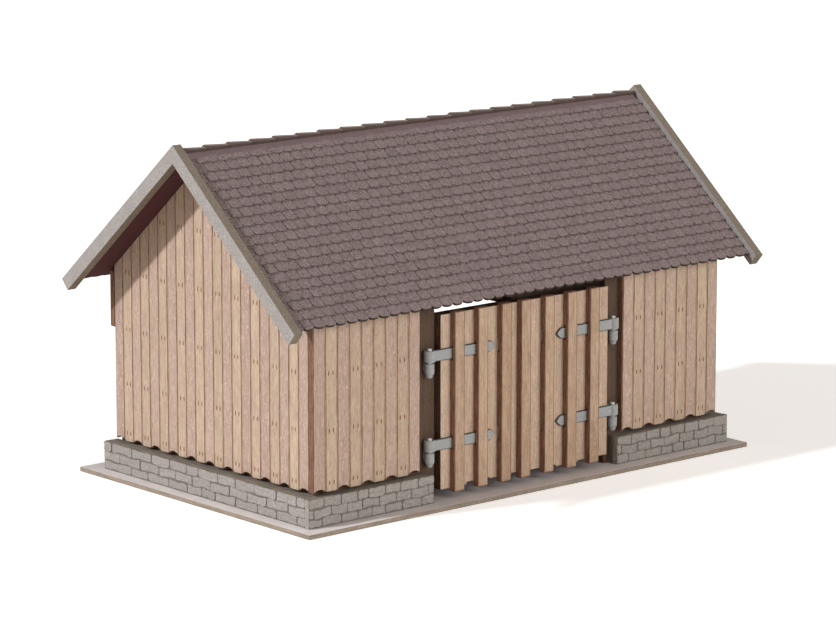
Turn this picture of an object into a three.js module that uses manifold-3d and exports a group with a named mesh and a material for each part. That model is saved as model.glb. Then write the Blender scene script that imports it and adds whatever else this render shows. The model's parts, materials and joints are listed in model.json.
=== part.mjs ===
// Model engine shed of a railway layout, scale 1:87, built up from laser-cut card and real-wood boards.
// Millimetres, +Z up. Origin: centre of the baseplate's underside. +X runs along the ridge,
// and the double doors face -Y. Left and right are as seen from in front of the doors.
import * as THREE from "three";
import { mergeVertices } from "three/addons/utils/BufferGeometryUtils.js";
import Module from "manifold-3d";

const wasm = await Module();
wasm.setup();

// Shared clearances
const OVERRUN = 1; // how far a cutting body passes the face that it cuts
const GLUE_LINE = 0.05; // gap between glued sloping faces
const RUNNING_GAP = 0.25; // clearance round the hinge pins and below the straps

// Baseplate
const BASE_THICKNESS = 0.8;
const BASE_END_MARGIN = 4.05; // past the gable walls
const BASE_SIDE_MARGIN = 3.8; // past the long walls

// Walls: a card core with a layer of boards on its outer face
const WALLS_LENGTH = 90.3;
const WALLS_DEPTH = 53.7;
const CORE_THICKNESS = 1.2;
const BOARD_THICKNESS = 1.2;
const FRONT_BOARD_PITCH = 2.5;
const FRONT_BOARDS_OPENING = 45.3; // between the boards on either side of the doorway
const GABLE_BOARD_COUNT = 21;
const GROOVE_WIDTH = 0.3;
const GROOVE_DEPTH = 0.25;
const BOARD_END_GAP = 0.45; // between the plinth's top and the long boards
const ARCH_SPRING = 0.15; // from a long board's end up to the foot of its neighbour's arch
const ARCH_RISE = 0.55;
const ARCH_STEPS = 4;
const REAR_LINTEL_HEIGHT = 9.5; // under the long walls' top, as the next drops are

// Plinth: three courses of stone on a packing strip
const PLINTH_HEIGHT = 4.8;
const FRONT_STONE_THICKNESS = 1.2;
const GABLE_STONE_THICKNESS = 1.85;
const COURSE_COUNT = 3;
const FRONT_STONE_LENGTH = 3.8;
const GABLE_STONE_LENGTH = 5;
const STONE_LENGTH_SHARES = [1, 0.82, 1.15, 0.9, 1.25, 0.88];
const COURSE_START_SHARES = [0.55, 0.95, 0.3];
const JOINT_WIDTH = 0.4;
const LEVEL_JOINT_DEPTH = 0.32;
const UPRIGHT_JOINT_DEPTH = 0.25; // less, so that each one ends inside the level joint

// Doorway and the two leaves
const DOORWAY_WIDTH = 38.1;
const PLINTH_OPENING = 41.2;
const DOOR_CENTRE_X = 0.45; // the doorway and its leaves sit a little right of the middle
const MEETING_X = 0.75;
const MEETING_GAP = 0.3;
const LEAF_SIDE_GAP = 0.35; // to the door post
const LEAF_BOTTOM = 2.45;
const LEAF_HEAD_GAP = 2.95; // from the leaf's top to the long walls' top
const COVER_BOARD_WIDTH = 2.15;
const COVER_BOARD_THICKNESS = 1.2;
const COVER_BOARD_PITCH = 5.15;
const COVER_BOARD_OVERLAP = 0.4; // the cover boards pass the leaf at its top and its bottom
const LEFT_FIRST_COVER = 3.1; // from a leaf's outer edge to the middle of its first cover board
const RIGHT_FIRST_COVER = 4.05;

// Strap hinges
const PIN_DISTANCE = 41.1; // between the pins of the two leaves
const PIN_RADIUS = 0.4;
const PIN_STANDS_UP = 0.3; // above the strap
const EYE_WALL = 0.3;
const EYE_CLEARANCE = 0.1; // to the door post
const STRAP_THICKNESS = 0.4;
const STRAP_HEIGHT = 1.9;
const STRAP_REACH = 14.5; // from the pin to the tip
const STRAP_TIP = 1.3;
const STRAP_TIP_SHARES = [[0.45, 0.42], [0.8, 0.24], [1, 0]]; // along the tip, and half the height
const UPPER_STRAP_DROP = 6.55; // from the leaf's top to the strap's middle
const LOWER_STRAP_Z = 10.25;
const ROUND_STEPS = 24;

// Pintle: a boss on a web that stands on the door post; the pin goes through it and ends in a point
const BOSS_RADIUS = 0.8;
const BOSS_HEIGHT = 1.85;
const WEB_WIDTH = 0.9;
const PIN_POINT_LENGTH = 0.9; // below the boss
const PIN_POINT_RADIUS = 0.15;

// Roof, measured from the top line of the bargeboards
const ROOF_PITCH = THREE.MathUtils.degToRad(40.5);
const APEX_Z = 60;
const ROOF_OVERHANG = 5.3; // past the gable walls
const BARGE_THICKNESS = 1.7;
const BARGE_DEPTH = 2.35;
const BARGE_PAST_TILES = 1.2; // down the slope
const TILE_SEAT_DROP = 1.15; // down to the card panel's top
const PANEL_THICKNESS = 0.55;
const TILES_PAST_PANEL = 0.6;
const EAVES_OVERHANG = 3.11; // of the slope's top line at the tiles' end, past the long walls
const TILE_HEAD = 0.1; // sheet thickness at the head of a course
const TILE_BUTT = 0.45; // and at its lower edge
const TILE_EXPOSURE = 1.91;
const TILE_WIDTH = 2.19;
const TILE_TIP_LENGTH = 0.75;
const TILE_TIP_STEPS = 4;
const RIDGE_HALF_GAP = 0.15;

// Ridge caps
const CAP_PITCH = 5.045;
const CAP_LOW_DROP = 0.68;
const CAP_STEP = 0.2; // how far a cap's upper end stands above its lower end
const CAP_SEAT_DROP = 0.9;
const CAP_SLOPE_LENGTH = 1.8;

// Card truss across the middle of the loft
const TRUSS_THICKNESS = 1.2;
const TRUSS_HEAD_DROP = 4; // from the long walls' top to its lower edge
const TRUSS_END_GAP = 0.1;

// Faces shared by several pieces
const gableFace = WALLS_LENGTH / 2;
const frontFace = WALLS_DEPTH / 2;
const gableCoreFace = gableFace - BOARD_THICKNESS;
const frontCoreFace = frontFace - BOARD_THICKNESS;
const gableInside = gableCoreFace - CORE_THICKNESS;
const frontInside = frontCoreFace - CORE_THICKNESS;
const plinthTop = BASE_THICKNESS + PLINTH_HEIGHT;
const plinthEnd = PLINTH_OPENING / 2;
const longBoardEnd = plinthTop + BOARD_END_GAP;
const roofHalf = gableFace + ROOF_OVERHANG;
const roofLength = 2 * roofHalf;
const boreRadius = PIN_RADIUS + RUNNING_GAP;
const eyeRadius = boreRadius + EYE_WALL;
const pinY = -frontCoreFace - EYE_CLEARANCE - eyeRadius;
const tileSlopeLength = (frontFace + EAVES_OVERHANG) / Math.cos(ROOF_PITCH);

function material(color, roughness, metalness = 0) {
  return new THREE.MeshStandardMaterial({ color, roughness, metalness });
}

const baseCard = material("#b8ada0", 0.9);
const darkCard = material("#4b3628", 0.85);
const wood = material("#c6a583", 0.75);
const doorWood = material("#b8946f", 0.75);
const stone = material("#8d8a85", 0.95);
const tile = material("#6c5657", 0.9);
const roofCard = material("#4d2628", 0.85);
const bargeCard = material("#a49b8f", 0.85);
const strapCard = material("#98a2a8", 0.5, 0.2);

// Closed outlines pushed straight along one axis

function extrude(points, depth) {
  const shape = new THREE.Shape(points.map(([a, b]) => new THREE.Vector2(a, b)));
  return new THREE.ExtrudeGeometry(shape, { depth, bevelEnabled: false });
}

function alongX(pointsYZ, [from, to]) {
  const turn = new THREE.Matrix4().set(0, 0, 1, from, 1, 0, 0, 0, 0, 1, 0, 0, 0, 0, 0, 1);
  return extrude(pointsYZ, to - from).applyMatrix4(turn);
}

function alongY(pointsXZ, [from, to]) {
  const turn = new THREE.Matrix4().set(1, 0, 0, 0, 0, 0, -1, to, 0, 1, 0, 0, 0, 0, 0, 1);
  return extrude(pointsXZ, to - from).applyMatrix4(turn);
}

function alongZ(pointsXY, [from, to]) {
  return extrude(pointsXY, to - from).translate(0, 0, from);
}

function box([x0, x1], [y0, y1], [z0, z1]) {
  const geometry = new THREE.BoxGeometry(x1 - x0, y1 - y0, z1 - z0);
  return geometry.translate((x0 + x1) / 2, (y0 + y1) / 2, (z0 + z1) / 2);
}

function upright(radius, x, y, [z0, z1]) {
  const geometry = new THREE.CylinderGeometry(radius, radius, z1 - z0, ROUND_STEPS);
  return geometry.rotateX(Math.PI / 2).translate(x, y, (z0 + z1) / 2);
}

// The stretch between two distances from the middle, on the left (-1) or the right (1)
function span(side, near, far) {
  return side < 0 ? [-far, -near] : [near, far];
}

// Joins and cuts

function toSolid(geometry) {
  const bare = geometry.clone();
  bare.deleteAttribute("normal");
  bare.deleteAttribute("uv");
  const merged = mergeVertices(bare);
  const vertProperties = new Float32Array(merged.attributes.position.array);
  const triVerts = new Uint32Array(merged.index.array);
  return new wasm.Manifold(new wasm.Mesh({ numProp: 3, vertProperties, triVerts }));
}

function toGeometry(solid) {
  const mesh = solid.getMesh();
  const geometry = new THREE.BufferGeometry();
  geometry.setAttribute("position", new THREE.BufferAttribute(mesh.vertProperties, 3));
  geometry.setIndex(new THREE.BufferAttribute(mesh.triVerts, 1));
  geometry.computeVertexNormals();
  return geometry;
}

function join(...geometries) {
  return toGeometry(geometries.map(toSolid).reduce((whole, solid) => whole.add(solid)));
}

function cut(body, tools) {
  return toGeometry(tools.map(toSolid).reduce((rest, tool) => rest.subtract(tool), toSolid(body)));
}

// Roof slopes. s runs down the slope from the apex of the bargeboards' top line,
// and drop is square to it, down into the roof.

const slopeCos = Math.cos(ROOF_PITCH);
const slopeSin = Math.sin(ROOF_PITCH);

function heightUnder(drop, y) {
  return APEX_Z - drop / slopeCos - Math.abs(y) * Math.tan(ROOF_PITCH);
}

// Where an upright cut at the ridge, a little off the middle, leaves the slope
function ridgeStart(drop) {
  return (RIDGE_HALF_GAP + drop * slopeSin) / slopeCos;
}

// Turns a body drawn with y up the slope and z square to it onto the front or the rear slope
function onSlope(geometry, isRear) {
  geometry.rotateX(ROOF_PITCH);
  if (isRear) {
    geometry.rotateZ(Math.PI);
  }
  return geometry.translate(0, 0, APEX_Z);
}

function slopeBoard(topDrop, bottomDrop, length, alongRidge, isRear) {
  const outline = [
    [-ridgeStart(topDrop), -topDrop],
    [-length, -topDrop],
    [-length, -bottomDrop],
    [-ridgeStart(bottomDrop), -bottomDrop],
  ];
  return onSlope(alongX(outline, alongRidge), isRear);
}

const panelBottomDrop = TILE_SEAT_DROP + GLUE_LINE + PANEL_THICKNESS;

function wallTop(y) {
  return heightUnder(panelBottomDrop + GLUE_LINE, y);
}

const wallHead = wallTop(frontFace);
const rearLintelBottom = wallHead - REAR_LINTEL_HEIGHT;
const leafTop = wallHead - LEAF_HEAD_GAP;
const strapLevels = [["lower", LOWER_STRAP_Z], ["upper", leafTop - UPPER_STRAP_DROP]];

// Upright panels are drawn as seen from outside: u to the right, z up, and the outer face at y = 0.
// They are then turned to their side of the building and moved out to their face.

const FRONT = { turn: 0, outwards: (distance) => [0, -distance] };
const REAR = { turn: Math.PI, outwards: (distance) => [0, distance] };
const LEFT = { turn: -Math.PI / 2, outwards: (distance) => [-distance, 0] };
const RIGHT = { turn: Math.PI / 2, outwards: (distance) => [distance, 0] };

function faceTo(geometry, wall, distance) {
  const [x, y] = wall.outwards(distance);
  return geometry.rotateZ(wall.turn).translate(x, y, 0);
}

// A V-shaped cutter's section: its mouth has the given width on the face at zero
function vSection(at, width, depth) {
  return [[at, depth], [at + width, -depth], [at - width, -depth]];
}

function uprightGroove(u, width, depth, [from, to]) {
  return alongZ(vSection(u, width, depth), [from, to]);
}

function levelGroove(z, width, depth, [from, to]) {
  return alongX(vSection(z, width, depth).map(([height, y]) => [y, height]), [from, to]);
}

// The lower ends of a row of boards: short ones with a hollow arch, long ones cut straight
function boardEnds(from, pitch, count) {
  const points = [];
  for (let board = 0; board < count; board += 1) {
    const left = from + board * pitch;
    if (board % 2 === 1) {
      points.push([left, longBoardEnd], [left + pitch, longBoardEnd]);
      continue;
    }
    for (let step = 0; step <= ARCH_STEPS; step += 1) {
      const t = step / ARCH_STEPS;
      points.push([left + t * pitch, longBoardEnd + ARCH_SPRING + 4 * ARCH_RISE * t * (1 - t)]);
    }
  }
  return points;
}

function boardJoints(from, pitch, count) {
  const joints = [];
  for (let board = 1; board < count; board += 1) {
    joints.push(from + board * pitch);
  }
  return joints;
}

function boardedPanel(outline, joints) {
  const tools = joints.map((u) => uprightGroove(u, GROOVE_WIDTH, GROOVE_DEPTH, [0, APEX_Z]));
  return cut(alongY(outline, [0, BOARD_THICKNESS]), tools);
}

function baseplate() {
  const x = gableFace + BASE_END_MARGIN;
  const y = frontFace + BASE_SIDE_MARGIN;
  return box([-x, x], [-y, y], [0, BASE_THICKNESS]);
}

function gableOutline(halfWidth, lowerEdge) {
  return [...lowerEdge, [halfWidth, wallTop(halfWidth)], [0, wallTop(0)], [-halfWidth, wallTop(halfWidth)]];
}

function gableBoards(wall) {
  const pitch = (2 * frontCoreFace) / GABLE_BOARD_COUNT;
  const ends = boardEnds(-frontCoreFace, pitch, GABLE_BOARD_COUNT);
  const joints = boardJoints(-frontCoreFace, pitch, GABLE_BOARD_COUNT);
  return faceTo(boardedPanel(gableOutline(frontCoreFace, ends), joints), wall, gableFace);
}

function gableCore(wall) {
  const foot = [[-frontCoreFace, BASE_THICKNESS], [frontCoreFace, BASE_THICKNESS]];
  const core = alongY(gableOutline(frontCoreFace, foot), [0, CORE_THICKNESS]);
  return faceTo(core, wall, gableCoreFace);
}

function frontBoards(side) {
  const [from, to] = span(side, FRONT_BOARDS_OPENING / 2, gableFace);
  const count = Math.round((to - from) / FRONT_BOARD_PITCH);
  const pitch = (to - from) / count;
  const outline = [...boardEnds(from, pitch, count), [to, wallHead], [from, wallHead]];
  const joints = boardJoints(from, pitch, count);
  return faceTo(boardedPanel(outline, joints), FRONT, frontFace);
}

function frontCore(side) {
  const alongWall = span(side, DOORWAY_WIDTH / 2 + side * DOOR_CENTRE_X, gableInside);
  return box(alongWall, [-frontCoreFace, -frontInside], [BASE_THICKNESS, wallTop(frontCoreFace)]);
}

function rearLintelBoards() {
  const count = Math.round(WALLS_LENGTH / FRONT_BOARD_PITCH);
  const pitch = WALLS_LENGTH / count;
  const outline = [
    [-gableFace, rearLintelBottom],
    [gableFace, rearLintelBottom],
    [gableFace, wallHead],
    [-gableFace, wallHead],
  ];
  return faceTo(boardedPanel(outline, boardJoints(-gableFace, pitch, count)), REAR, frontFace);
}

function rearLintelCore() {
  const heights = [rearLintelBottom, wallTop(frontCoreFace)];
  return box([-gableInside, gableInside], [frontInside, frontCoreFace], heights);
}

// Stone facing: courses of stones of different lengths, parted by V-shaped joints
function stoneFacing([from, to], thickness, stoneLength) {
  const courseHeight = PLINTH_HEIGHT / COURSE_COUNT;
  const tools = [];
  for (let course = 0; course < COURSE_COUNT; course += 1) {
    const low = BASE_THICKNESS + course * courseHeight;
    if (course > 0) {
      tools.push(levelGroove(low, JOINT_WIDTH, LEVEL_JOINT_DEPTH, [from - OVERRUN, to + OVERRUN]));
    }
    const isTop = course === COURSE_COUNT - 1;
    const heights = [course > 0 ? low : low - OVERRUN, isTop ? plinthTop + OVERRUN : low + courseHeight];
    let u = from + COURSE_START_SHARES[course] * stoneLength;
    for (let stones = course; u < to - JOINT_WIDTH; stones += 1) {
      tools.push(uprightGroove(u, JOINT_WIDTH, UPRIGHT_JOINT_DEPTH, heights));
      u += stoneLength * STONE_LENGTH_SHARES[stones % STONE_LENGTH_SHARES.length];
    }
  }
  return cut(box([from, to], [0, thickness], [BASE_THICKNESS, plinthTop]), tools);
}

function frontFacing(side) {
  const alongWall = span(side, plinthEnd, gableFace + GABLE_STONE_THICKNESS);
  const facing = stoneFacing(alongWall, FRONT_STONE_THICKNESS, FRONT_STONE_LENGTH);
  return faceTo(facing, FRONT, frontFace + FRONT_STONE_THICKNESS);
}

function gableFacing(wall) {
  const facing = stoneFacing([-frontFace, frontFace], GABLE_STONE_THICKNESS, GABLE_STONE_LENGTH);
  return faceTo(facing, wall, gableFace + GABLE_STONE_THICKNESS);
}

function frontPacking(side) {
  const alongWall = span(side, plinthEnd, gableFace);
  return box(alongWall, [-frontFace, -frontCoreFace], [BASE_THICKNESS, plinthTop]);
}

function gablePacking(side) {
  const across = span(side, gableCoreFace, gableFace);
  return box(across, [-frontCoreFace, frontFace], [BASE_THICKNESS, plinthTop]);
}

// Roof covering: courses of beaver-tail tiles, cut round along the eaves
function tileSheet(isRear) {
  const seat = TILE_SEAT_DROP;
  const start = ridgeStart(seat);
  const courses = Math.round((tileSlopeLength - start) / TILE_EXPOSURE);
  const exposure = (tileSlopeLength - start) / courses;
  const outline = [[-tileSlopeLength, -seat], [-start, -seat]];
  for (let course = 0; course < courses; course += 1) {
    outline.push([-start - course * exposure, TILE_HEAD - seat]);
    outline.push([-start - (course + 1) * exposure, TILE_BUTT - seat]);
  }
  return onSlope(cut(alongX(outline, [-roofHalf, roofHalf]), eaveNotches()), isRear);
}

// The wedge-shaped notches with round flanks that part the tips of the lowest tiles
function eaveNotches() {
  const count = Math.round(roofLength / TILE_WIDTH);
  const width = roofLength / count;
  const through = [-TILE_SEAT_DROP - OVERRUN, OVERRUN];
  const notches = [];
  for (let joint = 0; joint <= count; joint += 1) {
    const flank = [];
    for (let step = 0; step <= TILE_TIP_STEPS; step += 1) {
      const angle = (Math.PI / 2) * (step / TILE_TIP_STEPS);
      const reach = (width / 2) * (1 - Math.sin(angle) * (1 - GLUE_LINE));
      flank.push([reach, -tileSlopeLength + TILE_TIP_LENGTH * (1 - Math.cos(angle))]);
    }
    const outer = [width / 2, -tileSlopeLength - OVERRUN];
    const half = [outer, ...flank];
    const mirrored = half.map(([x, y]) => [-x, y]).reverse();
    const x = -roofHalf + joint * width;
    notches.push(alongZ([...half, ...mirrored], through).translate(x, 0, 0));
  }
  return notches;
}

function roofPanel(isRear) {
  const top = TILE_SEAT_DROP + GLUE_LINE;
  const length = tileSlopeLength - TILES_PAST_PANEL;
  return slopeBoard(top, panelBottomDrop, length, [-roofHalf, roofHalf], isRear);
}

// Both bargeboards of a gable are one piece, cut as a chevron with square ends
function bargeboards(side) {
  const length = tileSlopeLength + BARGE_PAST_TILES;
  const endPoint = (half, drop) => {
    const y = length * slopeCos - drop * slopeSin;
    return [half * y, APEX_Z - length * slopeSin - drop * slopeCos];
  };
  const outline = [
    [0, heightUnder(BARGE_DEPTH, 0)],
    endPoint(1, BARGE_DEPTH),
    endPoint(1, 0),
    [0, APEX_Z],
    endPoint(-1, 0),
    endPoint(-1, BARGE_DEPTH),
  ];
  return alongX(outline, span(side, roofHalf, roofHalf + BARGE_THICKNESS));
}

// A body through rings of points, one behind the other along X, closed at both ends
function loft(rings) {
  const size = rings[0].length;
  const index = [];
  for (let ring = 0; ring < rings.length - 1; ring += 1) {
    for (let k = 0; k < size; k += 1) {
      const [a, b] = [ring * size + k, ring * size + ((k + 1) % size)];
      index.push(a, a + size, b, b, a + size, b + size);
    }
  }
  const end = (rings.length - 1) * size;
  const flat = rings[0].map(([, y, z]) => new THREE.Vector2(y, z));
  for (const [a, b, c] of THREE.ShapeUtils.triangulateShape(flat, [])) {
    index.push(a, c, b, end + a, end + b, end + c);
  }
  const geometry = new THREE.BufferGeometry();
  geometry.setAttribute("position", new THREE.Float32BufferAttribute(rings.flat(2), 3));
  geometry.setIndex(index);
  return geometry;
}

// Angled caps that overlap like scales: each stands highest where it covers its neighbour
function ridgeCaps() {
  const count = Math.round(roofLength / CAP_PITCH);
  const pitch = roofLength / count;
  const rings = [];
  for (let cap = 0; cap < count; cap += 1) {
    const x = -roofHalf + cap * pitch;
    rings.push(capSection(x, CAP_LOW_DROP - CAP_STEP), capSection(x + pitch, CAP_LOW_DROP));
  }
  return loft(rings);
}

function capSection(x, drop) {
  const edge = (side, depth) => {
    const y = CAP_SLOPE_LENGTH * slopeCos - depth * slopeSin;
    return [x, side * y, APEX_Z - CAP_SLOPE_LENGTH * slopeSin - depth * slopeCos];
  };
  const middle = (depth) => [x, 0, heightUnder(depth, 0)];
  return [
    edge(-1, drop),
    middle(drop),
    edge(1, drop),
    edge(1, CAP_SEAT_DROP),
    middle(CAP_SEAT_DROP),
    edge(-1, CAP_SEAT_DROP),
  ];
}

function roofTruss() {
  const end = frontInside - TRUSS_END_GAP;
  const bottom = wallHead - TRUSS_HEAD_DROP;
  const outline = gableOutline(end, [[-end, bottom], [end, bottom]]);
  return alongX(outline, [-TRUSS_THICKNESS / 2, TRUSS_THICKNESS / 2]);
}

// Door leaves. Each has its outer edge by its post and its free edge at the meeting line.

function leafSpan(side) {
  const free = MEETING_X + (side * MEETING_GAP) / 2;
  const outer = DOOR_CENTRE_X + side * (DOORWAY_WIDTH / 2 - LEAF_SIDE_GAP);
  return side < 0 ? [outer, free] : [free, outer];
}

function leafBacking(side) {
  return box(leafSpan(side), [-frontCoreFace, -frontInside], [LEAF_BOTTOM, leafTop]);
}

function leafBoards(side) {
  const [from, to] = leafSpan(side);
  const outline = [[from, LEAF_BOTTOM], [to, LEAF_BOTTOM], [to, leafTop], [from, leafTop]];
  const joints = [];
  for (const middle of coverBoardMiddles(side)) {
    const next = middle - (side * COVER_BOARD_PITCH) / 2;
    if (next > from + GROOVE_WIDTH && next < to - GROOVE_WIDTH) {
      joints.push(next);
    }
  }
  return faceTo(boardedPanel(outline, joints), FRONT, frontFace);
}

// Middles of a leaf's cover boards, from its post inwards
function coverBoardMiddles(side) {
  const [from, to] = leafSpan(side);
  const first = side < 0 ? from + LEFT_FIRST_COVER : to - RIGHT_FIRST_COVER;
  const middles = [0, 1, 2].map((n) => first - side * n * COVER_BOARD_PITCH);
  return side < 0 ? [...middles, to - COVER_BOARD_WIDTH / 2] : middles;
}

// A cover board is notched at the back where a strap runs behind it
function coverBoard(side, middle) {
  const half = COVER_BOARD_WIDTH / 2;
  const back = -frontFace;
  const low = LEAF_BOTTOM - COVER_BOARD_OVERLAP;
  const high = leafTop + COVER_BOARD_OVERLAP;
  const bottom = back - STRAP_THICKNESS - RUNNING_GAP;
  const outline = [[back - COVER_BOARD_THICKNESS, high], [back - COVER_BOARD_THICKNESS, low], [back, low]];
  const isOverStraps = PIN_DISTANCE / 2 - Math.abs(middle) + half < STRAP_REACH + RUNNING_GAP;
  if (isOverStraps) {
    for (const [, z] of strapLevels) {
      const reach = STRAP_HEIGHT / 2 + RUNNING_GAP;
      outline.push([back, z - reach], [bottom, z - reach], [bottom, z + reach], [back, z + reach]);
    }
  }
  outline.push([back, high]);
  return alongX(outline, [middle - half, middle + half]);
}

// Strap hinge: a flat bar with a pointed tip, and an eye round the pin
function strap(side, z) {
  const pinX = (side * PIN_DISTANCE) / 2;
  const inwards = (distance) => pinX - side * distance;
  const half = STRAP_HEIGHT / 2;
  const shoulder = STRAP_REACH - STRAP_TIP;
  const upper = [[boreRadius, half], [shoulder, half]];
  for (const [along, heightShare] of STRAP_TIP_SHARES) {
    upper.push([shoulder + along * STRAP_TIP, heightShare * STRAP_HEIGHT]);
  }
  const lower = upper.slice(0, -1).map(([distance, height]) => [distance, -height]);
  const outline = [...upper, ...lower.reverse()].map(([distance, height]) => [inwards(distance), z + height]);
  const bar = alongY(outline, [-frontFace - STRAP_THICKNESS, -frontFace]);
  const eye = upright(eyeRadius, pinX, pinY, [z - half, z + half]);
  const bore = upright(boreRadius, pinX, pinY, [z - half - OVERRUN, z + half + OVERRUN]);
  return cut(join(bar, eye), [bore]);
}

function pintle(side, strapZ) {
  const pinX = (side * PIN_DISTANCE) / 2;
  const top = strapZ - STRAP_HEIGHT / 2 - RUNNING_GAP;
  const bottom = top - BOSS_HEIGHT;
  const boss = upright(BOSS_RADIUS, pinX, pinY, [bottom, top]);
  const web = box([pinX - WEB_WIDTH / 2, pinX + WEB_WIDTH / 2], [pinY, -frontCoreFace], [bottom, top]);
  const pin = upright(PIN_RADIUS, pinX, pinY, [bottom, strapZ + STRAP_HEIGHT / 2 + PIN_STANDS_UP]);
  const cone = new THREE.CylinderGeometry(PIN_RADIUS, PIN_POINT_RADIUS, PIN_POINT_LENGTH, ROUND_STEPS);
  const point = cone.rotateX(Math.PI / 2).translate(pinX, pinY, bottom - PIN_POINT_LENGTH / 2);
  return join(boss, web, pin, point);
}

// Assembly

function piece(name, geometry, finish) {
  const mesh = new THREE.Mesh(geometry, finish.clone());
  mesh.name = name;
  return mesh;
}

const shed = new THREE.Group();
const base = new THREE.Group();
const walls = new THREE.Group();
const roof = new THREE.Group();
shed.add(base, walls, roof);

base.add(piece("baseplate", baseplate(), baseCard));

for (const [label, side, wall] of [["left", -1, LEFT], ["right", 1, RIGHT]]) {
  base.add(piece(`${label}_gable_plinth_packing`, gablePacking(side), stone));
  base.add(piece(`${label}_gable_plinth_stones`, gableFacing(wall), stone));
  base.add(piece(`front_${label}_plinth_packing`, frontPacking(side), stone));
  base.add(piece(`front_${label}_plinth_stones`, frontFacing(side), stone));

  walls.add(piece(`${label}_gable_core`, gableCore(wall), darkCard));
  walls.add(piece(`${label}_gable_boards`, gableBoards(wall), wood));
  walls.add(piece(`front_${label}_core`, frontCore(side), darkCard));
  walls.add(piece(`front_${label}_boards`, frontBoards(side), wood));

  roof.add(piece(`${label}_bargeboards`, bargeboards(side), bargeCard));

  const leaf = new THREE.Group();
  shed.add(leaf);
  leaf.add(piece(`${label}_leaf_backing`, leafBacking(side), darkCard));
  leaf.add(piece(`${label}_leaf_boards`, leafBoards(side), doorWood));
  coverBoardMiddles(side).forEach((middle, n) => {
    leaf.add(piece(`${label}_leaf_cover_board_${n + 1}`, coverBoard(side, middle), doorWood));
  });
  for (const [level, z] of strapLevels) {
    leaf.add(piece(`${label}_${level}_strap`, strap(side, z), strapCard));
    walls.add(piece(`${label}_${level}_pintle`, pintle(side, z), strapCard));
  }
}

walls.add(piece("rear_lintel_core", rearLintelCore(), darkCard));
walls.add(piece("rear_lintel_boards", rearLintelBoards(), wood));
roof.add(piece("roof_truss", roofTruss(), darkCard));
roof.add(piece("front_roof_panel", roofPanel(false), roofCard));
roof.add(piece("rear_roof_panel", roofPanel(true), roofCard));
roof.add(piece("front_roof_tiles", tileSheet(false), tile));
roof.add(piece("rear_roof_tiles", tileSheet(true), tile));
roof.add(piece("ridge_tiles", ridgeCaps(), tile));

export default shed;
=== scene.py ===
"""Looks of the model engine shed: engraved wood, cut card, relief tiles and stones round the CAD frame.

Lengths are millimetres until a piece is made; the finished pieces are in metres, in the frame's own axes:
+X along the ridge, the doors face -Y, +Z up, origin under the middle of the baseplate.
"""
import json
import math
import random

import bmesh
import bpy
from mathutils import Color, Matrix, Vector


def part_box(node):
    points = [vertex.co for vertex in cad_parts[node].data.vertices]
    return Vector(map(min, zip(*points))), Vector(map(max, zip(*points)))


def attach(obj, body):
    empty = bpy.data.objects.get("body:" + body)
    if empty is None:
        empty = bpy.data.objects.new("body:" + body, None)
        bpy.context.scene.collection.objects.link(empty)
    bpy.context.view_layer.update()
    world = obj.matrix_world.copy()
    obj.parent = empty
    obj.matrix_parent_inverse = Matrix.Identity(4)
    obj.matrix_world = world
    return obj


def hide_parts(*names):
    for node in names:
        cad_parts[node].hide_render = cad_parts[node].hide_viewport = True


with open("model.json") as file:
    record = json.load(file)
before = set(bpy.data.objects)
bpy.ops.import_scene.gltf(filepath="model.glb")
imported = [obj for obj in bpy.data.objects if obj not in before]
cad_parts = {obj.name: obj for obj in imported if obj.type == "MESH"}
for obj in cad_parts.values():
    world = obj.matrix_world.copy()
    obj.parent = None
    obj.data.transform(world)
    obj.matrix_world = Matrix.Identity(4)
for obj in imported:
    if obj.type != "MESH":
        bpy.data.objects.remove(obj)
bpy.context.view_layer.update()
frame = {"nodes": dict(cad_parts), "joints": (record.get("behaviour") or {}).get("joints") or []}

MM = 0.001

# Camera: it stands off the corner between the left gable and the doors' side, and looks a little down
IMAGE_WIDTH = 836
SENSOR_WIDTH = 36
FOCAL_PIXELS = 4103.3
CAMERA_AZIMUTH = math.radians(-40.844)
CAMERA_ELEVATION = math.radians(11.447)
CAMERA_DISTANCE = 699.65
CAMERA_TARGET = Vector((0.066, 0, 25.972))

# Roof, as in the frame: s runs down the slope from the apex, and drop is square to it, into the roof
ROOF_PITCH = math.radians(40.5)
TILE_SEAT_DROP = 1.15
WALL_TOP_DROP = 1.8
TILE_SLOPE_LENGTH = 39.4
RIDGE_HALF_GAP = 0.15
TILE_EXPOSURE = 1.976
TILE_PITCH = 2.24
TILE_JOINT_X = 0.43  # one joint of the lowest course
TILE_FIELD_TOP = 2.35  # where the tiles begin, below the ridge caps
TILE_HEAD = 0.12
TILE_BUTT = 0.5
TILE_TAIL = 0.62  # how far a tile reaches up under the course above it
TILE_SAG = 0.55  # rounding of a tile's lower end
TILE_SQUARENESS = 0.8  # 1 is half an ellipse, less is squarer
TILE_SLANT = 0.09
TILE_GAP = 0.075
TILE_EDGE = 0.12  # worn edge of a tile
TILE_END_WANDER = 0.07  # at most, up the slope
TILE_BUTT_WANDER = 0.06
TILE_SIDE_WANDER = 0.04
TILE_ARC_STEPS = 8
EAVES_TIP_DEPTH = 0.15  # below the tiles' seat, past the edge of the card
EAVES_TIP_FROM = 38.42
TILE_END_GAP_LEAST = 0.05  # to the bargeboards
TILE_END_GAP = 0.3  # at most
BED_HEIGHT = 0.04
BED_SLOPE_LENGTH = 38.75
SHEET_DROP = 1.2
SHEET_THICKNESS = 0.55
SHEET_FROM = 1.7
SHEET_TO = 38.35
CAP_COUNT = 21
CAP_SLOPE_LENGTH = 1.25
CAP_LOW_DROP = 0.6
CAP_STEP = 0.26
CAP_SEAT_DROP = 1.12
CAP_CREST = 0.35  # half width of the rounded crest
CAP_LENGTH_SHARE = 1.06  # of the caps' pitch
CAP_WANDER = 0.03  # up and down

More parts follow.
